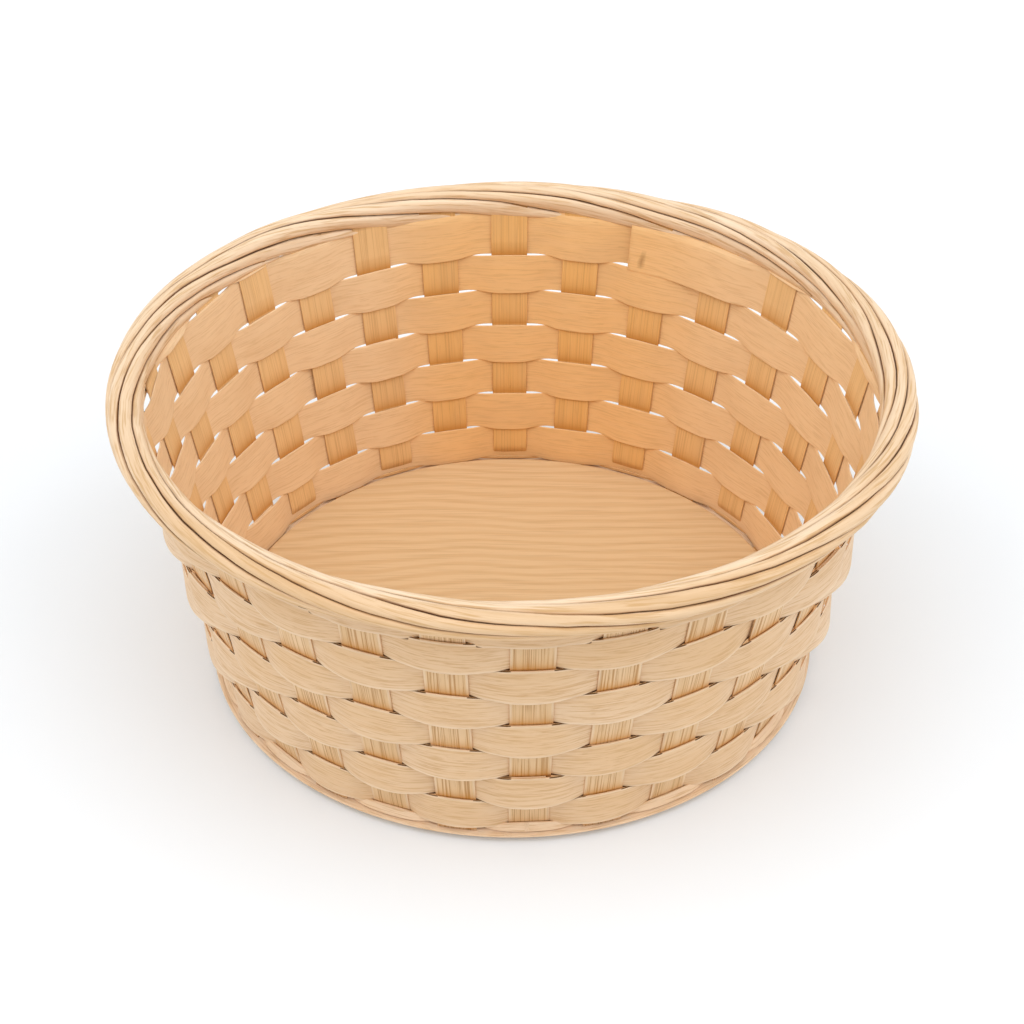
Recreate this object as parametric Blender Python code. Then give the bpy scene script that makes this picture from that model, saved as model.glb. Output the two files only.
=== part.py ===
import math

import bpy

# Woven wood-strip basket. Upright strips stand in the groove of a round base board,
# flat strips are woven round them in rows, and bent rods are rolled over two rim hoops.
# Sizes are in metres. The axis is +Z and the basket stands on z = 0.

HEIGHT = 0.1076
WALL_RADIUS = 0.0953
WALL_SLOPE = 0.193
CLEARANCE = 0.0003

STRIP_THICKNESS = 0.0009
STAKE_COUNT = 28
STAKE_WIDTH = 0.0126
STAKE_PHASE = math.radians(3.0)
STAKE_SKEW = math.radians(10.4)
BEND_RADIUS = 0.003
BEND_STEPS = 4

BOARD_LIFT = 0.0004
BOARD_LIP = 0.0015
BOARD_THICKNESS = 0.0052
BOARD_GROOVE = 0.0112
BOARD_EDGE = 0.001
BOARD_STEPS = 56

FOOT_HEIGHT = 0.0039
FOOT_THICKNESS = 0.0026
FOOT_EDGE = 0.0006

ROW_WIDTH = 0.012
LEAST_ROW = 0.003
TOP_ROW_END = 0.0033
ROW_SPLICE = 2
ROW_STAGGER = 8
FIRST_SPLICE = 18
EDGE_MARGIN = 0.0005

RIM_HEIGHT = 0.0094
RIM_WIDTH = 0.0114
RIM_OVERHANG = 0.00988
RIM_INSIDE = 0.0034
ROD_COUNT = 18
ROD_THICKNESS = 0.0024
ROD_GAP = 0.00045
ROD_STEPS = 3
ROD_REACH = 17
ROD_TIP = 0.6
ROD_FLAT = 0.28
HOOP_STEPS = 6

STRIP_COLOUR = (0.76, 0.57, 0.38, 1.0)
STAKE_COLOUR = (0.74, 0.54, 0.34, 1.0)
ROD_COLOUR = (0.78, 0.58, 0.38, 1.0)
HOOP_COLOUR = (0.72, 0.52, 0.33, 1.0)
BOARD_COLOUR = (0.73, 0.52, 0.33, 1.0)

# The wall leans outward, so a strip's half thickness reaches further along the radius.
lean = math.atan(WALL_SLOPE)
half_strip = STRIP_THICKNESS / 2
half_across = half_strip / math.cos(lean)
half_stake = STAKE_WIDTH / 2

# The turned-in foot of each upright lies in the board's groove.
groove_low = BOARD_LIFT + BOARD_LIP
groove_high = groove_low + STRIP_THICKNESS + 2 * CLEARANCE
foot_level = (groove_low + groove_high) / 2
bend_level = foot_level + BEND_RADIUS
bend_top = bend_level - BEND_RADIUS * math.sin(lean)
bend_centre = WALL_RADIUS + WALL_SLOPE * bend_top - BEND_RADIUS * math.cos(lean)
board_radius = bend_centre - BOARD_EDGE
groove_floor = board_radius - BOARD_GROOVE

# Section of the border: rods on a rounded path round the two hoops, down to the uprights' ends inside.
half_rod = ROD_THICKNESS / 2
rim_middle = HEIGHT - RIM_HEIGHT / 2
path_bend = RIM_HEIGHT / 2 - half_rod
core_bend = path_bend - half_rod - CLEARANCE
stake_top = rim_middle - RIM_INSIDE - CLEARANCE
rim_steps = ROD_STEPS * ROD_COUNT
facet = math.cos(math.pi / rim_steps)

# Rows fill the wall from the foot to the border, and the top row is split to what is left.
# They climb a little towards the back, where the split row runs out to its narrow end.
row_pitch = ROW_WIDTH + CLEARANCE
row_floor = FOOT_HEIGHT + CLEARANCE
row_ceiling = stake_top
row_count = math.ceil((row_ceiling - LEAST_ROW - row_floor) / row_pitch)
top_row_rise = (row_count - 1) * row_pitch
row_climb = (row_ceiling - TOP_ROW_END - row_floor) / top_row_rise - 1


def wall_radius(height):
    return WALL_RADIUS + WALL_SLOPE * height


def stake_inside(height):
    if height >= bend_top:
        return wall_radius(height) - half_across
    rise = bend_level - height
    return bend_centre + math.sqrt((BEND_RADIUS - half_strip) ** 2 - rise ** 2)


def clear_of_stakes(height):
    # Smallest ring radius that passes outside the corners of the flat uprights.
    if height >= bend_top:
        face = wall_radius(height) + half_across
    else:
        rise = bend_level - height
        face = bend_centre + math.sqrt((BEND_RADIUS + half_strip) ** 2 - rise ** 2)
    return math.hypot(face, half_stake) / facet + CLEARANCE


rim_outside = wall_radius(rim_middle) + RIM_OVERHANG
path_inside = rim_outside - RIM_WIDTH + half_rod
inner_bend = path_inside + path_bend
outer_bend = rim_outside - half_rod - path_bend
path_low = rim_middle - path_bend
path_high = rim_middle + path_bend


def stake_angle(index):
    # Angle from the front, seen from above; the spacing is a little wider on the right side.
    turn = STAKE_PHASE + 2 * math.pi * index / STAKE_COUNT
    return turn + STAKE_SKEW * (1 - math.cos(turn)) / 2


def row_level(rise, angle):
    # Height of a row's edge at an angle, from its rise over the lowest row at the front.
    climb = 1 + row_climb * (1 - math.cos(angle)) / 2
    return min(row_floor + rise * climb, row_ceiling)


def place(angle, radius, along=0.0):
    # Plan position: radius along the angle's direction, then a step along the tangent.
    x = radius * math.sin(angle) + along * math.cos(angle)
    y = -radius * math.cos(angle) + along * math.sin(angle)
    return x, y


def make_material(name, colour, roughness):
    material = bpy.data.materials.new(name)
    material.use_nodes = True
    shader = material.node_tree.nodes["Principled BSDF"]
    shader.inputs["Base Color"].default_value = colour
    shader.inputs["Roughness"].default_value = roughness
    shader.inputs["Metallic"].default_value = 0.0
    material.diffuse_color = colour
    return material


def make_object(name, verts, faces, material, smooth):
    mesh = bpy.data.meshes.new(name)
    mesh.from_pydata(verts, [], faces)
    mesh.update()
    mesh.materials.append(material)
    for polygon in mesh.polygons:
        polygon.use_smooth = smooth
    item = bpy.data.objects.new(name, mesh)
    bpy.context.scene.collection.objects.link(item)
    return item


def skin_faces(rings, points, closed):
    # Quads between neighbouring rings of points, with end caps on an open run.
    faces = []
    for ring in range(rings if closed else rings - 1):
        near = ring * points
        far = ((ring + 1) % rings) * points
        for point in range(points):
            step = (point + 1) % points
            faces.append((near + point, near + step, far + step, far + point))
    if not closed:
        last = (rings - 1) * points
        faces.append(tuple(range(points - 1, -1, -1)))
        faces.append(tuple(range(last, last + points)))
    return faces


def make_ring(name, section, material, smooth):
    # A hoop: the section's (radius, height) corners carried round the axis.
    verts = []
    for step in range(rim_steps):
        angle = 2 * math.pi * step / rim_steps
        for radius, height in section:
            verts.append((*place(angle, radius), height))
    return make_object(name, verts, skin_faces(rim_steps, len(section), True), material, smooth)


def make_board(material):
    low = BOARD_LIFT
    high = BOARD_LIFT + BOARD_THICKNESS
    edge = BOARD_EDGE
    profile = [
        (board_radius - edge, low),
        (board_radius, low + edge / 2),
        (board_radius, groove_low),
        (groove_floor, groove_low),
        (groove_floor, groove_high),
        (board_radius, groove_high),
        (board_radius, high - edge),
        (board_radius - edge, high),
    ]
    verts = []
    for step in range(BOARD_STEPS):
        angle = 2 * math.pi * step / BOARD_STEPS
        for radius, height in profile:
            verts.append((*place(angle, radius), height))
    count = len(profile)
    faces = []
    for step in range(BOARD_STEPS):
        near = step * count
        far = ((step + 1) % BOARD_STEPS) * count
        for point in range(count - 1):
            faces.append((near + point, near + point + 1, far + point + 1, far + point))
    faces = [tuple(reversed(face)) for face in faces]
    faces.append(tuple(step * count for step in reversed(range(BOARD_STEPS))))
    faces.append(tuple(step * count + count - 1 for step in range(BOARD_STEPS)))
    return make_object("base_board", verts, faces, material, False)


def stake_path():
    # Middle line of an upright as (radius, height) with its outward direction.
    path = [(groove_floor + CLEARANCE, foot_level, 0.0, -1.0)]
    sweep = math.pi / 2 - lean
    for step in range(BEND_STEPS + 1):
        turn = sweep * step / BEND_STEPS
        out = math.sin(turn)
        down = math.cos(turn)
        path.append((bend_centre + BEND_RADIUS * out, bend_level - BEND_RADIUS * down, out, -down))
    path.append((wall_radius(stake_top), stake_top, math.cos(lean), -math.sin(lean)))
    return path


def make_stake(index, material):
    angle = stake_angle(index)
    verts = []
    path = stake_path()
    for radius, height, out, rise in path:
        for side, along in ((1, -1), (1, 1), (-1, 1), (-1, -1)):
            x, y = place(angle, radius + side * half_strip * out, along * half_stake)
            verts.append((x, y, height + side * half_strip * rise))
    return make_object(f"stake_{index + 1:02d}", verts, skin_faces(len(path), 4, False), material, False)


def offset_line(points, distance):
    # The plan line moved sideways to its right by a distance, with mitred corners.
    moved = []
    last = len(points) - 1
    for index, (x, y) in enumerate(points):
        before = points[max(index - 1, 0)]
        after = points[min(index + 1, last)]
        ins = (x - before[0], y - before[1]) if index else (after[0] - x, after[1] - y)
        outs = (after[0] - x, after[1] - y) if index < last else ins
        first = math.atan2(ins[1], ins[0])
        turn = math.remainder(math.atan2(outs[1], outs[0]) - first, 2 * math.pi)
        across = first + turn / 2 - math.pi / 2
        reach = distance / math.cos(turn / 2)
        moved.append((x + reach * math.cos(across), y + reach * math.sin(across)))
    return moved


def make_weaver(row, material):
    layer = STRIP_THICKNESS + CLEARANCE
    reach = half_stake + EDGE_MARGIN
    # A row starts and ends inside an upright; the two ends lie over each other at the splice.
    start = FIRST_SPLICE + ROW_STAGGER * row
    start += (start + row) % 2
    laps = STAKE_COUNT + ROW_SPLICE
    line = []
    edges = []
    for lap in range(laps + 1):
        angle = stake_angle(start + lap)
        low = row_level(row * row_pitch, angle)
        high = row_level(row * row_pitch + ROW_WIDTH, angle)
        if row == row_count - 1:
            high = row_ceiling
        outside = (start + lap + row) % 2 == 1
        if outside:
            radius = wall_radius(high) + half_across + CLEARANCE + half_strip
        else:
            radius = stake_inside(low) - CLEARANCE - half_strip
        if lap <= ROW_SPLICE and not outside:
            radius -= layer
        if lap >= STAKE_COUNT and outside:
            radius += layer
        tail = half_stake - EDGE_MARGIN if lap == laps else reach
        line.append(place(angle, radius, -reach))
        line.append(place(angle, radius, tail))
        edges.extend(((low, high), (low, high)))
    outer = offset_line(line, half_strip)
    inner = offset_line(line, -half_strip)
    verts = []
    for near, far, (low, high) in zip(outer, inner, edges):
        verts.append((*near, low))
        verts.append((*far, low))
        verts.append((*far, high))
        verts.append((*near, high))
    name = "weaver_top" if row == row_count - 1 else f"weaver_{row + 1}"
    return make_object(name, verts, skin_faces(len(line), 4, False), material, False)


def make_foot_hoop(material):
    inside = clear_of_stakes(FOOT_HEIGHT)
    outside = inside + FOOT_THICKNESS
    section = [
        (inside, 0.0),
        (inside, FOOT_HEIGHT),
        (outside - FOOT_EDGE, FOOT_HEIGHT),
        (outside, FOOT_HEIGHT - FOOT_EDGE),
        (outside, 0.0),
    ]
    return make_ring("foot_hoop", section, material, False)


def make_rim_hoop(name, bend, side, material):
    # Half-round hoop; the two stand flat to flat in the middle of the rim.
    low = rim_middle - core_bend
    high = rim_middle + core_bend
    flat = (inner_bend + outer_bend + side * CLEARANCE) / 2
    section = [(flat, low), (flat, high)]
    for step in range(HOOP_STEPS + 1):
        turn = math.pi / 2 - math.pi * step / HOOP_STEPS
        section.append((bend + side * core_bend * math.cos(turn), rim_middle + core_bend * math.sin(turn)))
    if side < 0:
        section.reverse()
    return make_ring(name, section, material, False)


# Path of a border rod across the rim's section: from under the outside, over the top, down the inside.
# Neighbouring rods share the path evenly, so their width follows from its length.
quarter = path_bend * math.pi / 2
row_outside = wall_radius(row_ceiling) + half_across + 2 * (STRIP_THICKNESS + CLEARANCE)
path_start = math.hypot(row_outside, half_stake + EDGE_MARGIN) / facet + CLEARANCE
top_run = outer_bend - inner_bend
whole_path = outer_bend - path_start + 3 * quarter + top_run + RIM_INSIDE
rods_across = ROD_REACH / ROD_STEPS
rod_width = (whole_path - rods_across * ROD_GAP) / (rods_across + 1)
low_run = outer_bend - path_start - rod_width / 2
path_length = whole_path - rod_width


def rim_point(travel, lift):
    # Section point at a distance along the path, raised off it by a lift.
    rest = travel - low_run
    reach = path_bend + lift
    if rest <= 0:
        return outer_bend + rest, path_low - lift
    if rest <= 2 * quarter:
        turn = rest / path_bend - math.pi / 2
        return outer_bend + reach * math.cos(turn), rim_middle + reach * math.sin(turn)
    rest -= 2 * quarter
    if rest <= top_run:
        return outer_bend - rest, path_high + lift
    rest -= top_run
    if rest <= quarter:
        turn = rest / path_bend + math.pi / 2
        return inner_bend + reach * math.cos(turn), rim_middle + reach * math.sin(turn)
    return path_inside - lift, rim_middle - rest + quarter


def make_rod(index, material):
    # A flattened six-sided rod that drops across the rim as it runs round, with thinner ends.
    half_width = rod_width / 2
    flat = ROD_FLAT * rod_width
    corners = (
        (half_width, 0.0),
        (flat, half_rod),
        (-flat, half_rod),
        (-half_width, 0.0),
        (-flat, -half_rod),
        (flat, -half_rod),
    )
    verts = []
    for step in range(ROD_REACH + 1):
        angle = 2 * math.pi * (index * ROD_STEPS + step) / rim_steps
        travel = path_length * (1 - step / ROD_REACH)
        size = ROD_TIP if step in (0, ROD_REACH) else 1.0
        for across, lift in corners:
            radius, height = rim_point(travel + size * across, size * lift)
            verts.append((*place(angle, radius), height))
    faces = skin_faces(ROD_REACH + 1, len(corners), False)
    return make_object(f"border_rod_{index + 1:02d}", verts, faces, material, True)


for old in list(bpy.data.objects):
    bpy.data.objects.remove(old)

stake_wood = make_material("stake_wood", STAKE_COLOUR, 0.6)
strip_wood = make_material("strip_wood", STRIP_COLOUR, 0.6)
rod_wood = make_material("rod_wood", ROD_COLOUR, 0.55)
hoop_wood = make_material("hoop_wood", HOOP_COLOUR, 0.6)
board_wood = make_material("board_wood", BOARD_COLOUR, 0.55)

make_board(board_wood)
make_foot_hoop(hoop_wood)
for stake in range(STAKE_COUNT):
    make_stake(stake, stake_wood)
for weave_row in range(row_count):
    make_weaver(weave_row, strip_wood)
make_rim_hoop("rim_hoop_inner", inner_bend, -1, hoop_wood)
make_rim_hoop("rim_hoop_outer", outer_bend, 1, hoop_wood)
for rod in range(ROD_COUNT):
    make_rod(rod, rod_wood)
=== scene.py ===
import math

import bmesh
import bpy
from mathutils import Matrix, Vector, noise


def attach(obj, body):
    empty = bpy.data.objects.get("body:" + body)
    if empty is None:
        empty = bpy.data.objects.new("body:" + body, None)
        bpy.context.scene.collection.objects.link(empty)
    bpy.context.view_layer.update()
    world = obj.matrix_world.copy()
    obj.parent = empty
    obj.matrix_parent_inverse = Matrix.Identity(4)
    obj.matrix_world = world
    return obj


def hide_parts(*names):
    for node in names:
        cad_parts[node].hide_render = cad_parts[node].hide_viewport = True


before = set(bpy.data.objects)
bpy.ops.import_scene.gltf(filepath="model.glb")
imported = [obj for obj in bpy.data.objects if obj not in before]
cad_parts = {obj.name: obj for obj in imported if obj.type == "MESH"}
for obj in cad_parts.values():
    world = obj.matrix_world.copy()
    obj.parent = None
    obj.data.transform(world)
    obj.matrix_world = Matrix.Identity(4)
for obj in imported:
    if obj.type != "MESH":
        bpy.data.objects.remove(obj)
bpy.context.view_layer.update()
print("frame loaded:", len(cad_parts), "nodes")

# sizes in metres, angles in degrees; angle 0 is the front, then round to the right
wall = {
    "radius": 0.0953,       # middle of the uprights carried down to the table
    "slope": 0.193,         # outward lean
    "stakeCount": 28,
    "phase": 3.0,
    "skew": 10.4,           # uprights stand a little wider on the right
    "rowCount": 8,
    "rowFloor": 0.0042,
    "rowPitch": 0.0123,
    "rowCeiling": 0.0992,
    "topRowEnd": 0.0033,
    "sideOut": 0.0012,      # the wall stands a little wider just before the sides
    "sideRise": (0.004, 0.022),
    "sideStart": (0.0, 0.12),       # cosines of the angles where that begins and ends
    "sideEnd": (0.66, 0.35),
    "leftPale": 0.42,       # painted light: inside faces take a warm bounce-light colour, paler towards the sides
    "leftSpan": (0.1, 0.55),
    "rightPale": 0.3,
    "rightSpan": (0.3, 0.75),
}
topRise = (wall["rowCount"] - 1) * wall["rowPitch"]
rowClimb = (wall["rowCeiling"] - wall["topRowEnd"] - wall["rowFloor"]) / topRise - 1


def wallRadius(z):
    return wall["radius"] + wall["slope"] * z


def stakeAngle(index):
    turn = math.radians(wall["phase"]) + 2 * math.pi * index / wall["stakeCount"]
    return turn + math.radians(wall["skew"]) * (1 - math.cos(turn)) / 2


def climbAt(angle):
    return 1 + rowClimb * (1 - math.cos(angle)) / 2


def rowLevel(rise, angle):
    return wall["rowFloor"] + rise * climbAt(angle)


def besideShare(angle):
    ahead = math.cos(angle)
    return ramp(ahead, *wall["sideStart"]) * ramp(ahead, *wall["sideEnd"])


def sideReach(z, angle):
    return wall["sideOut"] * besideShare(angle) * ramp(z, *wall["sideRise"])


def place(angle, radius, z):
    return Vector((radius * math.sin(angle), -radius * math.cos(angle), z))


def wander(x, seed):
    return noise.noise(Vector((x, seed * 7.31 + 0.5, seed * 1.7)))


def ramp(x, low, high):
    share = min(1.0, max(0.0, (x - low) / (high - low)))    # high below low gives a falling edge
    return share * share * (3 - 2 * share)


# painted light on inside faces: 1 at the back, less towards the sides
def paintedInsideLight(angle):
    side = math.sin(angle)
    left = wall["leftPale"] * ramp(-side, *wall["leftSpan"])
    return 1 - left - wall["rightPale"] * ramp(side, *wall["rightSpan"])


section = {
    "margin": 2.4,          # corner radii between a strip's edge and its flat face
    "edge": 2.6,            # corner radii painted pale, as cut edge with a painted highlight
    "spots": (1.0, 0.9, 0.76, 0.55),
    "cornerSteps": 3,
}


def stripSection(half, thick, corner):
    # round-cornered flat section, (across, depth) pairs; extra points keep the faces flat
    flat = thick / 2
    near = half - corner * section["margin"]
    spots = [near * share for share in section["spots"]]
    points = [(-spot, flat) for spot in spots] + [(0.0, flat)] + [(spot, flat) for spot in reversed(spots)]
    turns = [math.pi / 2 * step / section["cornerSteps"] for step in range(section["cornerSteps"] + 1)]
    for turn in turns:
        points.append((half - corner + corner * math.sin(turn), flat - corner + corner * math.cos(turn)))
    for turn in turns:
        points.append((half - corner + corner * math.cos(turn), corner - flat - corner * math.sin(turn)))
    return points + [(-across, -depth) for across, depth in points]


# pale cut edge with a painted highlight, on outside faces only
def cutEdgeAndHighlight(across, depth, half, corner):
    return 1.0 if depth > 0 and abs(across) > half - corner * section["edge"] else 0.0


def faceOut(name, mesh):
    # an object of the mesh, with its faces pointing out
    work = bmesh.new()
    work.from_mesh(mesh)
    bmesh.ops.recalc_face_normals(work, faces=work.faces)
    work.to_mesh(mesh)
    work.free()
    mesh.shade_smooth()
    piece = bpy.data.objects.new(name, mesh)
    bpy.context.scene.collection.objects.link(piece)
    return piece


def skin(name, rings, marks, extras, closed=False):
    # one tube of quads through rings of points; marks are (along, across, seed) for the grain
    count = len(rings[0])
    total = len(rings)
    faces = []
    for near in range(total if closed else total - 1):
        far = (near + 1) % total
        for spot in range(count):
            step = (spot + 1) % count
            faces.append((near * count + spot, near * count + step, far * count + step, far * count + spot))
    if not closed:
        faces.append(tuple(range(count)))
        faces.append(tuple((total - 1) * count + spot for spot in range(count)))
    mesh = bpy.data.meshes.new(name)
    mesh.from_pydata([tuple(p) for ring in rings for p in ring], [], faces)
    grain = mesh.attributes.new("grain", "FLOAT_VECTOR", "POINT")
    grain.data.foreach_set("vector", [c for ring in marks for mark in ring for c in mark])
    for key, values in extras.items():
        layer = mesh.attributes.new(key, "FLOAT", "POINT")
        layer.data.foreach_set("value", values)
    return faceOut(name, mesh)


def fit(piece, finish, slot, *nodes):
    piece.data.materials.append(finish)
    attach(piece, "root")
    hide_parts(*nodes)


woodShine = 0.12            # dry, unvarnished wood


# shader maths: a socket that takes part in plain sums
class Val:
    def __init__(self, finish, socket):
        self.finish = finish
        self.socket = socket

    def calc(self, operation, first, second):
        return self.finish.node("ShaderNodeMath", {"operation": operation}, {0: first, 1: second})

    def __add__(self, other):
        return self.calc("ADD", self, other)

    def __sub__(self, other):
        return self.calc("SUBTRACT", self, other)

    def __rsub__(self, other):
        return self.calc("SUBTRACT", other, self)

    def __mul__(self, other):
        return self.calc("MULTIPLY", self, other)

    __radd__ = __add__
    __rmul__ = __mul__


class Nodes:
    def __init__(self, tree):
        self.tree = tree

    def feed(self, socket, value):
        if isinstance(value, Val):
            self.tree.links.new(value.socket, socket)
        else:
            socket.default_value = value

    def node(self, kind, settings, sockets, output=0):
        made = self.tree.nodes.new(kind)
        for key, value in settings.items():
            setattr(made, key, value)
        for key, value in sockets.items():
            self.feed(made.inputs[key], value)
        return Val(self, made.outputs[output])

    def seenShare(self):
        # 1 for what the camera sees, straight, mirrored or through glass
        rays = ("Is Camera Ray", "Is Glossy Ray", "Is Transmission Ray")
        seen, mirrored, through = [self.node("ShaderNodeLightPath", {}, {}, ray) for ray in rays]
        return seen + mirrored + through


class Finish(Nodes):
    def __init__(self, name):
        self.material = bpy.data.materials.new(name)
        self.material.use_nodes = True
        super().__init__(self.material.node_tree)
        self.shader = self.tree.nodes["Principled BSDF"]

    def grain(self):
        return self.node("ShaderNodeAttribute", {"attribute_name": "grain"}, {}, "Vector")

    def mark(self, name):
        return self.node("ShaderNodeAttribute", {"attribute_name": name}, {}, "Fac")

    def scaled(self, vector, scale):
        return self.node("ShaderNodeVectorMath", {"operation": "MULTIPLY"}, {0: vector, 1: scale})

    def streaks(self, vector, scale, detail, rough=0.5):
        sockets = {"Vector": self.scaled(vector, scale), "Scale": 1.0, "Detail": detail, "Roughness": rough}
        return self.node("ShaderNodeTexNoise", {}, sockets)

    def span(self, value, low, high):
        # 0 below low, 1 above high
        settings = {"interpolation_type": "SMOOTHSTEP"}
        return self.node("ShaderNodeMapRange", settings, {0: value, 1: low, 2: high, 3: 0.0, 4: 1.0})

    def mix(self, factor, first, second):
        return self.node("ShaderNodeMix", {"data_type": "RGBA"}, {0: factor, 6: first, 7: second}, 2)

    def surface(self, colour, rough, height, depth, sheen=0.0):
        bump = self.node("ShaderNodeBump", {}, {"Strength": 1.0, "Distance": depth, "Height": height})
        for key, value in (("Base Color", colour), ("Roughness", rough), ("Normal", bump)):
            self.feed(self.shader.inputs[key], value)
        self.shader.inputs["Specular IOR Level"].default_value = woodShine
        self.shader.inputs["Sheen Weight"].default_value = sheen
        return self.material


grainLook = {               # the same in uprights and weaving strips
    "streakSpan": (0.3, 0.72),
    "poreSpan": (0.66, 0.74),
    "cloudSpan": (0.45, 0.8),
    "insideSpan": (0.0, 0.5),
    "innerSpan": (0.5, 1.0),
    # colour of real knots, also used for the painted shadow under the rods
    "knotAndShadow": (0.22, 0.085, 0.02, 1.0),
    "rough": 0.52,
    "roughGain": 0.16,
    "sheen": 0.02,
}


def stripWood(name, look):
    # split wood strip: long streaks, fine fibres, a few short pores, pale cut edges with a painted
    # highlight, painted shade in creases, painted warm bounce light on inside faces
    wood = Finish(name)
    grain = wood.grain()
    streak = wood.streaks(grain, look["streakScale"], 3.0)
    fibre = wood.streaks(grain, look["fibreScale"], 2.0, 0.6)
    pore = wood.span(wood.streaks(grain, look["poreScale"], 1.0), *grainLook["poreSpan"])
    cloud = wood.streaks(grain, look["cloudScale"], 2.0)
    inside = wood.mark("inside")
    creaseShade = wood.mark("creaseShade")
    within = wood.span(inside, *grainLook["insideSpan"])
    quiet = 1.0 - within * look["quiet"]
    colour = wood.mix(wood.span(streak, *grainLook["streakSpan"]), look["pale"], look["deep"])
    # painted bounce light: inside faces mix to a warmer colour, paler towards the sides
    inner = wood.mix(wood.span(inside, *grainLook["innerSpan"]), look["innerPale"], look["inner"])
    colour = wood.mix(within * look["inside"], colour, inner)
    colour = wood.mix(wood.mark("tone") * quiet, colour, look["warm"])
    # painted shade: fibre lines darken where the crease mark is high
    lines = wood.span(fibre, *look["lineSpan"]) * (look["fibre"] + creaseShade * look["lineGain"])
    colour = wood.mix(lines * quiet, colour, look["line"])
    colour = wood.mix(pore * quiet * look["pore"], colour, look["line"])
    colour = wood.mix(wood.span(cloud, *grainLook["cloudSpan"]) * look["cloud"], colour, look["warm"])
    # pale cut edge with a painted highlight
    colour = wood.mix(wood.mark("edge") * look["edge"], colour, look["cutEdgeAndHighlight"])
    # painted shade in creases and corners
    colour = wood.mix(wood.span(creaseShade, *look["creaseSpan"]) * look["creaseShade"], colour, look["shade"])
    colour = wood.mix(wood.mark("knotAndShadow"), colour, grainLook["knotAndShadow"])
    rough = grainLook["rough"] + fibre * grainLook["roughGain"]
    height = fibre * 0.7 + streak * 0.3 - pore * 0.4
    return wood.surface(colour, rough, height, look["relief"], grainLook["sheen"])


# upright strips

stakeLook = {
    "half": 0.00605,        # half width at the table
    "widen": 0.0045,        # more half width per metre of height
    "thick": 0.00052,
    "corner": 0.00018,
    "top": 0.1008,
    "bend": 0.003,          # radius of the turned-in foot
    "footLevel": 0.00265,
    "footEnd": 0.0816,
    "plainEnd": 0.0030,     # every other upright runs down outside the foot strip
    "kick": 0.0023,
    "kickFrom": 0.009,
    "kickRun": 0.0065,
    "bendSteps": 8,
    "paleFrom": 0.087,      # no painted crease shade from here up
    "paleRun": 0.001,
    "shadeFrom": 0.0982,    # painted shadow where the tops go in under the rods
    "shadeRun": 0.0008,
    "shade": 0.8,
    "fade": 3.6,            # how fast the painted crease shade fades upwards, per row
    "fadeShift": 0.06,
    "footMark": 0.4,
    "footMarkTop": 0.003,
    "tone": 0.18,
    "toneRange": 0.35,
    "sway": 0.00008,        # pushed in and out by the rows
    "swayFrom": 0.008,
    "drift": 0.0002,        # not quite straight
    "step": 0.0011,
}
stakeWood = stripWood("stakeWood", {
    "streakScale": (14.0, 420.0, 1.0),
    "fibreScale": (22.0, 2200.0, 1.0),
    "poreScale": (120.0, 2600.0, 1.0),
    "cloudScale": (30.0, 110.0, 1.0),
    "pale": (0.84, 0.60, 0.365, 1.0),
    "deep": (0.75, 0.505, 0.275, 1.0),
    "line": (0.42, 0.205, 0.065, 1.0),
    "warm": (0.66, 0.43, 0.22, 1.0),
    "shade": (0.56, 0.235, 0.045, 1.0),
    "inner": (0.90, 0.50, 0.15, 1.0),
    "innerPale": (0.88, 0.575, 0.27, 1.0),
    "cutEdgeAndHighlight": (0.84, 0.66, 0.46, 1.0),
    "fibre": 0.68,
    "lineSpan": (0.48, 0.64),
    "lineGain": 0.5,
    "pore": 0.3,
    "cloud": 0.3,
    "inside": 0.78,
    "quiet": 0.62,
    "creaseShade": 0.9,
    "creaseSpan": (0.0, 1.0),
    "edge": 0.5,
    "relief": 0.00012,
})


def stakePath(index):
    # (radius, z, out, rise) down the upright's middle, with its outward direction
    lean = math.atan(wall["slope"])
    look = stakeLook
    bendZ = look["footLevel"] + look["bend"]
    bendTop = bendZ - look["bend"] * math.sin(lean)
    bendRadius = wallRadius(bendTop) - look["bend"] * math.cos(lean)
    turnedIn = index % 2 == 0
    bottom = bendTop if turnedIn else look["plainEnd"]
    path = []
    steps = round((look["top"] - bottom) / look["step"])
    for step in range(steps + 1):
        z = look["top"] + (bottom - look["top"]) * step / steps
        kick = 0.0 if turnedIn else look["kick"] * ramp(look["kickFrom"] - z, 0.0, look["kickRun"])
        path.append((wallRadius(z) + kick, z, math.cos(lean), -math.sin(lean)))
    if turnedIn:
        for step in range(1, look["bendSteps"] + 1):
            turn = (math.pi / 2 + lean) * step / look["bendSteps"] - lean
            out, down = math.cos(turn), math.sin(turn)
            path.append((bendRadius + look["bend"] * out, bendZ - look["bend"] * down, out, -down))
        path.append((look["footEnd"], look["footLevel"], 0.0, -1.0))
    return path


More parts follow.
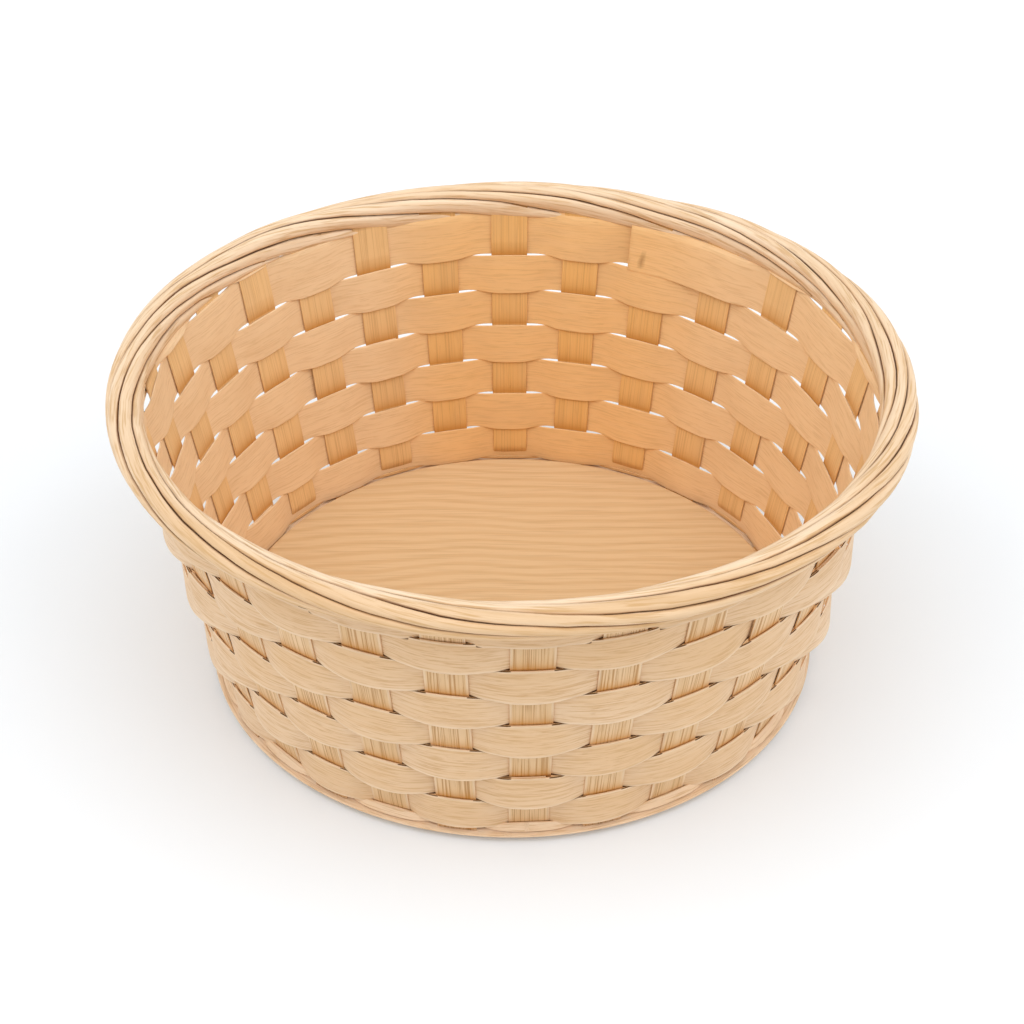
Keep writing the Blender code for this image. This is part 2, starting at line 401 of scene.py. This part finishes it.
def makeStake(index):
    look = stakeLook
    angle = stakeAngle(index)
    rings, marks = [], []
    extras = {"creaseShade": [], "inside": [], "edge": [], "tone": [], "knotAndShadow": []}
    along = 0.0
    last = None
    for radius, z, out, rise in stakePath(index):
        half = look["half"] + look["widen"] * z
        row = (z - wall["rowFloor"]) / (wall["rowPitch"] * climbAt(angle))
        sway = 0.0
        if z > look["swayFrom"]:
            over = math.cos(math.pi * (math.floor(row) + index + 1))
            sway = -look["sway"] * over * math.sin(math.pi * (row % 1))
        if last:
            along += math.hypot(radius - last[0], z - last[1])
        last = (radius, z)
        shift = look["drift"] * wander(z * 40, index + 60)
        # painted shade: darker at the bottom of each window, fading upwards, with a flat share low down on
        # the turned-in foot
        mark = math.exp(-((row + look["fadeShift"]) % 1) * look["fade"])
        mark = mark if z > look["footMarkTop"] else look["footMark"]
        mark *= ramp(z, look["paleFrom"] + look["paleRun"], look["paleFrom"])
        # painted shadow under the rods on inside faces; the same mark carries real knots on the strips
        shade = look["shade"] * ramp(z, look["shadeFrom"], look["shadeFrom"] + look["shadeRun"])
        ring, ringMarks = [], []
        for across, depth in stripSection(half, look["thick"], look["corner"]):
            reach = radius + sway + sideReach(z, angle) + depth * out
            ring.append(place(angle + (across + shift) / radius, reach, z + depth * rise))
            ringMarks.append((along, across, index * 3.17 + 1.0))
            extras["creaseShade"].append(mark)
            extras["inside"].append(paintedInsideLight(angle) if depth < 0 else 0.0)
            extras["knotAndShadow"].append(shade if depth < 0 else 0.0)
            extras["edge"].append(cutEdgeAndHighlight(across, depth, half, look["corner"]))
            extras["tone"].append(look["tone"] + look["toneRange"] * wander(index * 1.9, 5))
        rings.append(ring)
        marks.append(ringMarks)
    piece = skin(f"upright_{index + 1:02d}", rings, marks, extras)
    fit(piece, stakeWood, "stake_wood", f"stake_{index + 1:02d}")


for index in range(wall["stakeCount"]):
    makeStake(index)
print("uprights woven in:", wall["stakeCount"])


# weaving strips

weaveLook = {
    "thick": 0.00052,
    "corner": 0.00018,
    "topOut": 0.00072,      # the top edge hugs an upright from outside
    "lowOut": 0.0031,       # the lower edge stands off it
    "topIn": -0.00068,
    "lowIn": -0.00085,
    "backBulge": 0.3,       # the strips lie flatter round the back
    "bulgeSpan": (-0.03, 0.11),
    "sideBulge": 0.1,       # and stand off more at the sides
    "sideSkew": 0.15,
    "square": 0.5,          # 1 is a plain wave, less hugs the uprights more
    "arch": 0.76,           # half span of the lower edge's arch, in uprights
    "archPower": 2.2,
    "archSoft": 0.01,
    "archRange": 0.12,
    "footClear": 0.0009,    # the first row leaves the foot strip in sight
    "droop": 0.00045,       # the lower edge hangs where nothing is under it
    "width": 0.01215,
    "flutter": 0.00008,     # not quite even edges
    "steps": 16,            # per upright
    "lead": 0.22,           # a strip starts before its first upright
    "layer": 0.0006,        # step where a strip's two ends lie on each other
    "overOn": (0.3, 0.7),   # in uprights from the splice
    "overOff": (1.35, 1.9),
    "underOn": (-0.75, -0.3),
    "firstSplice": 18,
    "stagger": 8,
    "hiddenEnd": 1.2,       # ends lie between an upright and the next layer
    "shownRow": 6,          # one end stays in sight inside
    "shownEnd": 1.32,
    "lapTop": 0.0010,       # strips are wider where they lie inside
    "lapLow": 0.0008,
    "backLap": -0.15,
    "backSpan": (-0.1, 0.15),
    "lapSpan": (0.26, 0.44),
    "topLap": 0.003,        # no view in under the rim at the front
    "frontSpan": (0.2, 0.6),
    "topOver": 0.0012,      # the top row ends above the uprights
    "topLeast": 0.0008,
    "corners": 0.08,        # height of the painted shade corners, of the strip's width
    "topCorner": 0.13,
    "sideCorner": 0.5,      # smaller towards the sides
    "cornerMiddle": 0.54,   # where they are, in uprights
    "cornerRun": 0.19,
    "cornerSharp": 6.0,
    "cornerTop": 0.985,     # of the strip's width, with a fine painted dark line from here up
    "lineStart": (0.2, 0.28),
    "lineEnd": (0.5, 0.4),
    "peek": 0.0014,         # uprights show between the last full row and the rim
    "tuck": 0.0028,         # the wall's top edge goes up into the rim
    "tuckSpan": (-0.3, 0.3),
    "tuckFrom": 0.0964,
    "tuckOut": 0.0018,
    "knotBack": 0.2,        # behind the shown end
    "knotRise": 0.2,
    "knotLong": 22.0,
    "knotTall": 9.0,
    "tone": 0.02,
    "frontShade": 0.46,      # painted shade: the strips are a little darker at the front
    "toneSpan": (0.35, 0.85),
    "riseTone": 0.22,
    "rowTone": 0.22,
    "alongTone": 0.16,
}
weaverWood = stripWood("weaverWood", {
    "streakScale": (26.0, 520.0, 1.0),
    "fibreScale": (100.0, 2100.0, 1.0),
    "poreScale": (210.0, 2400.0, 1.0),
    "cloudScale": (38.0, 70.0, 1.0),
    "pale": (0.835, 0.635, 0.45, 1.0),
    "deep": (0.78, 0.555, 0.36, 1.0),
    "line": (0.52, 0.285, 0.105, 1.0),
    "warm": (0.71, 0.455, 0.235, 1.0),
    "shade": (0.10, 0.034, 0.002, 1.0),
    "inner": (0.92, 0.55, 0.22, 1.0),
    "innerPale": (0.89, 0.635, 0.38, 1.0),
    "cutEdgeAndHighlight": (0.90, 0.75, 0.57, 1.0),
    "fibre": 0.5,
    "lineSpan": (0.46, 0.68),
    "lineGain": 0.2,
    "pore": 0.35,
    "cloud": 0.35,
    "inside": 0.8,
    "quiet": 0.5,
    "creaseShade": 0.95,
    "creaseSpan": (0.4, 0.6),
    "edge": 0.3,
    "relief": 0.0001,
})


def weaveSwing(spot, row):
    # 1 outside an upright, -1 inside it
    plain = math.cos(math.pi * (spot + row + 1))
    return plain / math.sqrt(plain * plain + weaveLook["square"] ** 2 * (1 - plain * plain))


def weaveArch(spot, row):
    # 1 over an upright, falling in an arch to 0 behind its neighbours
    turn = (spot + row + 1) % 2
    away = min(turn, 2 - turn)
    high = 1 - (away / weaveLook["arch"]) ** weaveLook["archPower"]
    return (high + math.sqrt(high * high + weaveLook["archSoft"])) / 2, away


def weaveEdges(swing, arch, angle):
    # how far the lower and the top edge stand off the uprights' middle
    look = weaveLook
    out = (1 + swing) / 2
    ahead = math.cos(angle)
    bulge = look["backBulge"] + (1 - look["backBulge"]) * ramp(ahead, *look["bulgeSpan"])
    low = look["lowIn"] + (look["lowOut"] * bulge - look["lowIn"]) * arch
    side = look["sideBulge"] + look["sideSkew"] * math.sin(angle)
    low += look["lowOut"] * besideShare(angle) * side * arch ** 3
    top = look["topIn"] + (look["topOut"] - look["topIn"]) * out
    return low, top


def weaveCrease(away, rise, depth, tall):
    # painted shade in the corners where strips slip behind an upright, and a fine painted dark line on the
    # top edge
    look = weaveLook
    if depth <= 0:
        return 0.0
    if rise > look["cornerTop"]:
        return ramp(away, *look["lineStart"]) * ramp(away, *look["lineEnd"])
    high = tall * min(1.0, max(-1.0, (away - look["cornerMiddle"]) / look["cornerRun"]))
    return min(1.0, max(0.0, 0.5 + (high - rise) * look["cornerSharp"]))


def spliceStart(row):
    start = weaveLook["firstSplice"] + weaveLook["stagger"] * row
    return start + (start + row) % 2


def makeWeaver(row):
    look = weaveLook
    count = wall["stakeCount"]
    start = spliceStart(row)
    shown = row == look["shownRow"]
    topRow = row == wall["rowCount"] - 1
    first = start - look["lead"]
    end = start + count + (look["shownEnd"] if shown else look["hiddenEnd"])
    steps = round((end - first) * look["steps"])
    rings, marks = [], []
    extras = {"creaseShade": [], "inside": [], "edge": [], "tone": [], "knotAndShadow": []}
    along = 0.0
    last = None
    for step in range(steps + 1):
        spot = first + (end - first) * step / steps
        angle = stakeAngle(spot)
        swing = weaveSwing(spot, row)
        arch, away = weaveArch(spot, row)
        arch *= 1 + look["archRange"] * wander(spot * 0.5, row + 40)
        past = spot - start
        layer = ramp(past, *look["overOn"]) * (1 - ramp(past, *look["overOff"]))
        past -= count
        if past > -1:
            layer = -ramp(past, *look["underOn"]) * (1 - ramp(past, *look["overOn"]))
        if shown and past > 0:
            swing, arch, away = -1.0, 0.0, 1.0
        within = (1 - swing) / 2
        base = row * wall["rowPitch"]
        low = rowLevel(base, angle) + look["flutter"] * wander(spot * 0.9, row + 1)
        high = rowLevel(base + look["width"], angle) + look["flutter"] * wander(spot * 0.9, row + 20)
        if row > 0 or swing > 0:
            low -= look["droop"] * swing ** 4
        if row == 0:
            low += look["footClear"] * (1 - within) ** 2
        tuck = look["tuck"] * ramp(-math.cos(angle), *look["tuckSpan"])
        back = ramp(-math.cos(angle), *look["backSpan"])
        front = ramp(math.cos(angle), *look["frontSpan"])
        lapTop = within ** 4 * (1 - back) + ramp(away, *look["lapSpan"]) * back * look["backLap"]
        lapLow = within ** 4 * (1 - back) + within ** 2 * back
        if topRow:
            low += tuck
            high = max(wall["rowCeiling"] + look["topOver"], low + look["topLeast"])
            low -= look["topLap"] * within * front
        elif row == wall["rowCount"] - 2:
            high += tuck - look["peek"] * (1 - within) * front
        else:
            high += look["lapTop"] * lapTop
        if 0 < row and not topRow:
            low -= look["lapLow"] * lapLow
        lowOff, topOff = weaveEdges(swing, arch, angle)
        half = (high - low) / 2
        middle = (high + low) / 2
        here = place(angle, wallRadius(middle) + lowOff, middle)
        along += (here - last).length if last else 0.0
        last = here
        out = 1 - within
        tall = look["topCorner"] if topRow else look["corners"]
        tall *= 1 - look["sideCorner"] * besideShare(angle)
        shift = layer * look["layer"]
        # painted shade at the front, plus random tone by row and along the strip
        tint = look["tone"] + look["frontShade"] * ramp(math.cos(angle), *look["toneSpan"])
        tint += look["rowTone"] * wander(row * 2.3, 9) + look["alongTone"] * wander(spot * 0.5, row + 70)
        ring, ringMarks = [], []
        for across, depth in stripSection(half, look["thick"], look["corner"]):
            rise = (across / half + 1) / 2
            z = middle + across
            reach = wallRadius(z) + sideReach(z, angle) + lowOff + (topOff - lowOff) * rise + shift + depth
            reach += look["tuckOut"] * ramp(z, look["tuckFrom"], look["tuckFrom"] + look["tuck"])
            ring.append(place(angle, reach, z))
            ringMarks.append((along, across, row * 5.3 + 90.0))
            extras["creaseShade"].append(weaveCrease(away, rise, depth, tall))
            extras["inside"].append(paintedInsideLight(angle) if depth < 0 else 0.0)
            extras["edge"].append(cutEdgeAndHighlight(across, depth, half, look["corner"]))
            risen = look["riseTone"] * out * out * rise if depth > 0 else 0.0
            extras["tone"].append(max(0.0, risen + tint))
            long = (end - spot - look["knotBack"]) * look["knotLong"]
            near = math.hypot(long, (rise - look["knotRise"]) * look["knotTall"])
            extras["knotAndShadow"].append(max(0.0, 1 - near) if shown else 0.0)
        rings.append(ring)
        marks.append(ringMarks)
    name = "weaver_top" if topRow else f"weaver_{row + 1}"
    piece = skin(name + "_strip", rings, marks, extras)
    fit(piece, weaverWood, "strip_wood", name)


for row in range(wall["rowCount"]):
    makeWeaver(row)
print("rows woven:", wall["rowCount"])


# foot: a narrow strip woven round the lowest edge, on a thin rod

footLook = {
    "low": 0.0034,
    "high": 0.0047,
    "crest": 0.0010,        # the strip is wider where it shows
    "thick": 0.00055,
    "corner": 0.00018,
    "inside": 0.0969,
    "crestLow": 0.0986,
    "crestTop": 0.0969,     # its top edge hugs the uprights
    "slip": 1.1,            # painted shade where the strip goes in behind an upright
    "tone": 0.05,
    # a faint share of the painted crease shade over the whole hem
    "hemMark": 0.1,
    "hemSteps": 260,
    "hem": (                # (radius, z) round the hoop below, cut back where it meets the table
        (0.0943, 0.0), (0.0942, 0.0004), (0.0942, 0.0026), (0.0945, 0.0030), (0.0970, 0.0030),
        (0.0997, 0.0030), (0.1000, 0.0029), (0.1002, 0.0027), (0.1002, 0.0025), (0.1000, 0.0023),
        (0.0997, 0.0022), (0.0957, 0.0022), (0.0955, 0.0020), (0.0955, 0.0),
    ),
}


def makeFoot():
    look = footLook
    rings, marks = [], []
    extras = {"creaseShade": [], "inside": [], "edge": [], "tone": []}
    steps = wall["stakeCount"] * weaveLook["steps"]
    for step in range(steps):
        spot = step / weaveLook["steps"]
        angle = stakeAngle(spot)
        out = (1 + weaveSwing(spot, -1)) / 2
        high = look["high"] + look["crest"] * out ** 3
        half = (high - look["low"]) / 2
        middle = (high + look["low"]) / 2
        ring, ringMarks = [], []
        for across, depth in stripSection(half, look["thick"], look["corner"]):
            rise = (across / half + 1) / 2
            crest = look["crestLow"] + (look["crestTop"] - look["crestLow"]) * rise
            reach = look["inside"] + (crest - look["inside"]) * out + depth
            ring.append(place(angle, reach, middle + across))
            ringMarks.append((angle * look["inside"], across, 60.0))
            extras["creaseShade"].append(look["slip"] * (1 - out) ** 3 if depth > 0 else 0.0)
            extras["inside"].append(1.0 if depth < 0 else 0.0)
            extras["edge"].append(0.0)
            extras["tone"].append(look["tone"])
        rings.append(ring)
        marks.append(ringMarks)
    strip = skin("foot_strip", rings, marks, extras, True)
    rings, marks = [], []
    extras = {"creaseShade": [], "inside": [], "edge": [], "tone": []}
    for step in range(look["hemSteps"]):
        angle = 2 * math.pi * step / look["hemSteps"]
        ring, ringMarks = [], []
        for reach, z in look["hem"]:
            ring.append(place(angle, reach, z))
            ringMarks.append((angle * look["inside"], reach - z, 61.0))
            extras["creaseShade"].append(look["hemMark"])
            extras["inside"].append(0.0)
            extras["edge"].append(0.0)
            extras["tone"].append(look["tone"])
        rings.append(ring)
        marks.append(ringMarks)
    hem = skin("foot_hem", rings, marks, extras, True)
    fit(strip, weaverWood, "hoop_wood", "foot_hoop")
    fit(hem, weaverWood, "hoop_wood", "foot_hoop")


makeFoot()
print("foot made")


# border rods rolled over the rim

rodLook = {
    "count": 18,
    "steps": 17,            # thirds of a rod's spacing that one rod runs
    "thick": 0.0030,
    "middle": 0.1029,
    "bend": 0.0033,
    "outer": 0.12034,       # centre of the outside bend
    "inner": 0.11834,       # centre of the inside bend
    "start": 0.118,
    "low": 0.0995,
    "width": 0.00325,
    "jitter": 0.0014,       # hand laid, so no two grooves run alike
    "tilt": 0.0004,
    "lift": 0.0004,
    "fill": 0.965,          # of the spacing, the rest is open groove
    "twitch": 0.0002,
    "sag": 0.0015,          # the rim hangs a little at the back
    "sagSpan": (0.6, 0.95),
    "reach": 0.65,          # and comes further down inside there
    "reachSpan": (-0.3, 0.3),
    "tone": 0.04,
    "toneRange": 0.18,
    "frontShade": 0.8,       # painted shade: rods are darker at the front, outside
    "frontSpan": (0.2, 0.9),
    "outsideSpan": (0.1185, 0.1215),
    # painted shade: rods are darker at the sides
    "sideShade": 0.2,
    "sideSpan": (0.6, 0.95),
    "grooveLeast": 0.3,     # the painted shade in the grooves comes and goes along a rod
    "grooveSpan": (-0.3, 0.3),
    "grooveFrom": 0.86,     # of a rod's half width, where the painted groove shade starts
    "least": 0.0004,        # narrower ends are cut off
    "taperFrom": 0.6,       # of the spacing
    "taperPower": 0.6,
    "roundness": 0.85,      # 1 is a plain ellipse
    "lead": 3.4,            # thirds over which an end tapers
    "fine": 3,              # rings per third
    "sides": 22,
    "streakScale": (14.0, 650.0, 1.0),
    "fibreScale": (60.0, 1700.0, 1.0),
    "cloudScale": (24.0, 60.0, 1.0),
    "fibreShare": 0.62,
    "cloudShare": 0.35,
    "grooveShare": 0.96,
    "rough": 0.42,
    "roughGain": 0.18,
    "relief": 0.00012,
    "streakSpan": (0.32, 0.68),
    "pale": (0.905, 0.725, 0.53, 1.0),
    "deep": (0.83, 0.62, 0.415, 1.0),
    # shaded copies of the rod colours, for random tone and for the painted shade at the front and sides
    "darkPale": (0.78, 0.53, 0.31, 1.0),
    "darkDeep": (0.68, 0.44, 0.235, 1.0),
    "fibreSpan": (0.47, 0.66),
    "fibre": (0.56, 0.32, 0.12, 1.0),
    "cloudSpan": (0.45, 0.75),
    "cloud": (0.78, 0.53, 0.30, 1.0),
    "groove": (0.14, 0.03, 0.001, 1.0),
}


def rodWood():
    look = rodLook
    wood = Finish("rodWood")
    grain = wood.grain()
    streak = wood.streaks(grain, look["streakScale"], 3.0, 0.6)
    fibre = wood.streaks(grain, look["fibreScale"], 2.0, 0.6)
    cloud = wood.streaks(grain, look["cloudScale"], 2.0)
    streaky = wood.span(streak, *look["streakSpan"])
    bright = wood.mix(streaky, look["pale"], look["deep"])
    dark = wood.mix(streaky, look["darkPale"], look["darkDeep"])
    colour = wood.mix(wood.mark("tone"), bright, dark)
    colour = wood.mix(wood.span(fibre, *look["fibreSpan"]) * look["fibreShare"], colour, look["fibre"])
    colour = wood.mix(wood.span(cloud, *look["cloudSpan"]) * look["cloudShare"], colour, look["cloud"])
    # painted shade in the grooves between rods
    colour = wood.mix(wood.mark("creaseShade") * look["grooveShare"], colour, look["groove"])
    rough = look["rough"] + fibre * look["roughGain"]
    return wood.surface(colour, rough, streak * 0.6 + fibre * 0.4, look["relief"])


def rimPoint(travel, lift, drop):
    # (radius, z) at a way along the rim's section: under it, round the outside, over the top, down inside
    look = rodLook
    quarter = look["bend"] * math.pi / 2
    topRun = look["outer"] - look["inner"]
    rest = travel - (look["outer"] - look["start"])
    reach = look["bend"] + lift
    if rest <= 0:
        return look["outer"] + rest, look["middle"] - reach
    if rest <= 2 * quarter:
        turn = rest / look["bend"] - math.pi / 2
        return look["outer"] + reach * math.cos(turn), look["middle"] + reach * math.sin(turn)
    rest -= 2 * quarter
    if rest <= topRun:
        return look["outer"] - rest, look["middle"] + reach
    rest -= topRun
    if rest <= quarter:
        turn = rest / look["bend"] + math.pi / 2
        return look["inner"] + reach * math.cos(turn), look["middle"] + reach * math.sin(turn)
    return look["inner"] - reach, look["middle"] - (rest - quarter) * drop


def makeRod(index, finish):
    look = rodLook
    count = look["count"]
    quarter = look["bend"] * math.pi / 2
    flats = look["outer"] - look["start"] + look["outer"] - look["inner"] + look["middle"] - look["low"]
    whole = flats + 3 * quarter
    length = whole - look["width"]
    pitch = 3 * length / look["steps"]

    def boundary(rod, third):
        # lower side of a rod along the rim's section
        middle = look["width"] / 2 + length * (1 - third / look["steps"])
        shift = look["jitter"] * wander(third * 0.27, rod % count + 3)
        return middle - pitch / 2 + shift + look["twitch"] * wander(third * 1.6, rod % count + 80)

    rings, marks = [], []
    extras = {"creaseShade": [], "tone": []}
    along = 0.0
    last = None
    span = look["steps"] + 2 * look["lead"]
    steps = round(span * look["fine"])
    for step in range(steps + 1):
        third = span * step / steps - look["lead"]
        low = max(0.0, boundary(index, third))
        high = min(whole, boundary(index + 1, third - 3))
        width = high - low
        if width < look["least"]:
            continue
        thick = look["thick"] * min(1.0, width / (look["taperFrom"] * pitch)) ** look["taperPower"]
        lift = look["lift"] * wander(third * 0.2, index + 30)
        tilt = look["tilt"] * wander(third * 0.17, index + 50)
        angle = 2 * math.pi * (3 * index + third) / (3 * count)
        back = ramp(-math.cos(angle), *look["sagSpan"])
        drop = 1 + look["reach"] * ramp(-math.cos(angle), *look["reachSpan"])
        groove = ramp(wander(third * 0.4, index + 110), *look["grooveSpan"])
        groove = look["grooveLeast"] + (1 - look["grooveLeast"]) * groove
        # painted shade at the front outside and at the sides, on top of random tone per rod
        front = look["frontShade"] * ramp(math.cos(angle), *look["frontSpan"])
        side = look["sideShade"] * ramp(abs(math.sin(angle)), *look["sideSpan"])
        tone = look["tone"] + look["toneRange"] * wander(index * 1.37, 12) + side
        ring, spots = [], []
        for corner in range(look["sides"]):
            turn = 2 * math.pi * corner / look["sides"]
            across = math.cos(turn)
            up = math.copysign(abs(math.sin(turn)) ** look["roundness"], math.sin(turn))
            travel = (low + high) / 2 + width * look["fill"] / 2 * across
            radius, z = rimPoint(travel, lift + tilt * across + thick / 2 * up, drop)
            ring.append(place(angle, radius, z - look["sag"] * back * back))
            spots.append(across * width / 2)
            edge = max(0.0, abs(across) - look["grooveFrom"]) / (1 - look["grooveFrom"])
            extras["creaseShade"].append(edge * groove)
            extras["tone"].append(max(0.0, tone + front * ramp(radius, *look["outsideSpan"])))
        middle = sum(ring, Vector()) / len(ring)
        along += (middle - last).length if last else 0.0
        last = middle
        rings.append(ring)
        marks.append([(along, spot, index * 4.1 + 200.0) for spot in spots])
    piece = skin(f"rod_{index + 1:02d}", rings, marks, extras)
    fit(piece, finish, "rod_wood", f"border_rod_{index + 1:02d}")


peeled = rodWood()
for index in range(rodLook["count"]):
    makeRod(index, peeled)
print("border rolled:", rodLook["count"], "rods")


# base board

boardLook = {
    "radius": 0.0938,
    "low": 0.0004,
    "high": 0.0056,
    "grooveLow": 0.0019,
    "grooveHigh": 0.0034,
    "grooveFloor": 0.0811,
    "round": 0.0009,
    "roundSteps": 3,
    "hub": 0.02,
    "steps": 160,
    "sharp": 35.0,
    "arcScale": 1300.0,     # growth arcs across the board
    "arcBend": 34.0,
    "bendScale": (9.0, 14.0, 5.0),
    "fibreScale": (55.0, 1700.0, 300.0),
    "fibreShare": 0.4,
    "rough": 0.5,
    "roughGain": 0.15,
    "relief": 0.00008,
    "arcSpan": (-0.4, 1.0),
    "pale": (0.74, 0.52, 0.295, 1.0),
    "deep": (0.69, 0.465, 0.25, 1.0),
    "fibreSpan": (0.45, 0.8),
    "fibre": (0.50, 0.31, 0.15, 1.0),
}


def boardWood():
    look = boardLook
    wood = Finish("boardWood")
    where = wood.node("ShaderNodeTexCoord", {}, {}, "Object")
    bent = wood.streaks(where, look["bendScale"], 2.0)
    across = wood.node("ShaderNodeSeparateXYZ", {}, {0: where}, "Y")
    wave = across * look["arcScale"] + bent * look["arcBend"]
    arcs = wood.node("ShaderNodeMath", {"operation": "SINE"}, {0: wave})
    fibre = wood.streaks(where, look["fibreScale"], 2.0)
    colour = wood.mix(wood.span(arcs, *look["arcSpan"]), look["pale"], look["deep"])
    colour = wood.mix(wood.span(fibre, *look["fibreSpan"]) * look["fibreShare"], colour, look["fibre"])
    return wood.surface(colour, look["rough"] + fibre * look["roughGain"], fibre, look["relief"])


def boardProfile():
    look = boardLook
    edge = look["round"]
    middle = look["radius"] - edge
    turns = [math.pi / 2 * step / look["roundSteps"] for step in range(look["roundSteps"] + 1)]
    profile = [(look["hub"], look["low"]), (middle, look["low"])]
    for turn in turns[1:]:
        profile.append((middle + edge * math.sin(turn), look["low"] + edge - edge * math.cos(turn)))
    profile += [(look["radius"], look["grooveLow"]), (look["grooveFloor"], look["grooveLow"])]
    profile += [(look["grooveFloor"], look["grooveHigh"]), (look["radius"], look["grooveHigh"])]
    for turn in turns:
        profile.append((middle + edge * math.cos(turn), look["high"] - edge + edge * math.sin(turn)))
    return profile + [(look["radius"] - 3 * edge, look["high"]), (look["hub"], look["high"])]


def makeBoard():
    steps = boardLook["steps"]
    profile = boardProfile()
    count = len(profile)
    verts, faces = [], []
    for step in range(steps):
        angle = 2 * math.pi * step / steps
        verts += [tuple(place(angle, radius, z)) for radius, z in profile]
        near = step * count
        far = (step + 1) % steps * count
        faces += [(near + spot, far + spot, far + spot + 1, near + spot + 1) for spot in range(count - 1)]
    faces.append(tuple(step * count for step in range(steps)))
    faces.append(tuple(step * count + count - 1 for step in range(steps)))
    mesh = bpy.data.meshes.new("base_disc")
    mesh.from_pydata(verts, [], faces)
    piece = faceOut("base_disc", mesh)
    mesh.set_sharp_from_angle(angle=math.radians(boardLook["sharp"]))
    return piece


sanded = boardWood()
fit(makeBoard(), sanded, "board_wood", "base_board")
for hidden in ("rim_hoop_inner", "rim_hoop_outer"):
    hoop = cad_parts[hidden].data.materials
    hoop.clear()
    hoop.append(sanded)
print("base board made")


# table, light and camera

studio = {
    "suns": (               # name, power, where from
        ("frontSun", 1.05, (0.0, -0.28, 1.0)),
        ("leftSun", 0.68, (-1.0, -0.3, 0.7)),
        ("rightSun", 0.74, (1.0, -0.3, 0.7)),
    ),
    "sunSize": 65.0,        # degrees, wide for soft shadows
    "skyLevel": 0.635,
    "tableColour": (0.875, 0.91, 0.945, 1.0),
    "tableShare": 0.04,     # of plain white seen by the camera
    "tableHalf": 4.0,
    "tableLevel": -0.0001,
    "cameraAt": (0.0, -0.5620, 0.4676),
    "lookAt": (0.0, 0.0, 0.0502),
    "lens": 75.66,
}


def paleTable():
    table = Finish("paleTable")
    tree = table.tree
    matt = table.node("ShaderNodeBsdfDiffuse", {}, {"Color": studio["tableColour"]})
    white = table.node("ShaderNodeEmission", {}, {"Color": (1.0, 1.0, 1.0, 1.0), "Strength": 1.0})
    share = table.seenShare() * studio["tableShare"]
    both = table.node("ShaderNodeMixShader", {}, {0: share, 1: matt, 2: white})
    tree.nodes.remove(table.shader)
    out = [n for n in tree.nodes if n.type == "OUTPUT_MATERIAL"][0]
    tree.links.new(both.socket, out.inputs["Surface"])
    return table.material


mesh = bpy.data.meshes.new("table")
half = studio["tableHalf"]
corners = [(x * half, y * half, studio["tableLevel"]) for x, y in ((-1, -1), (1, -1), (1, 1), (-1, 1))]
mesh.from_pydata(corners, [], [(0, 1, 2, 3)])
table = bpy.data.objects.new("table", mesh)
bpy.context.scene.collection.objects.link(table)
mesh.materials.append(paleTable())

for name, power, source in studio["suns"]:
    sun = bpy.data.objects.new(name, bpy.data.lights.new(name, "SUN"))
    sun.data.energy = power
    sun.data.angle = math.radians(studio["sunSize"])
    sun.rotation_mode = "QUATERNION"
    sun.rotation_quaternion = Vector(source).to_track_quat("Z", "Y")
    bpy.context.scene.collection.objects.link(sun)

world = bpy.data.worlds.new("studio")
bpy.context.scene.world = world
world.use_nodes = True
sky = Nodes(world.node_tree)
backdrop = world.node_tree.nodes["Background"].inputs
sky.feed(backdrop["Strength"], sky.seenShare() * (1 - studio["skyLevel"]) + studio["skyLevel"])
backdrop["Color"].default_value = (1.0, 1.0, 1.0, 1.0)

camera = bpy.data.objects.new("camera", bpy.data.cameras.new("camera"))
camera.data.lens = studio["lens"]
camera.data.sensor_width = 36.0
camera.location = studio["cameraAt"]
camera.rotation_mode = "QUATERNION"
gaze = Vector(studio["lookAt"]) - Vector(studio["cameraAt"])
camera.rotation_quaternion = gaze.to_track_quat("-Z", "Y")
camera.data.clip_start = 0.01
bpy.context.scene.collection.objects.link(camera)
bpy.context.scene.camera = camera
bpy.context.scene.view_settings.view_transform = "Standard"
print("studio set")
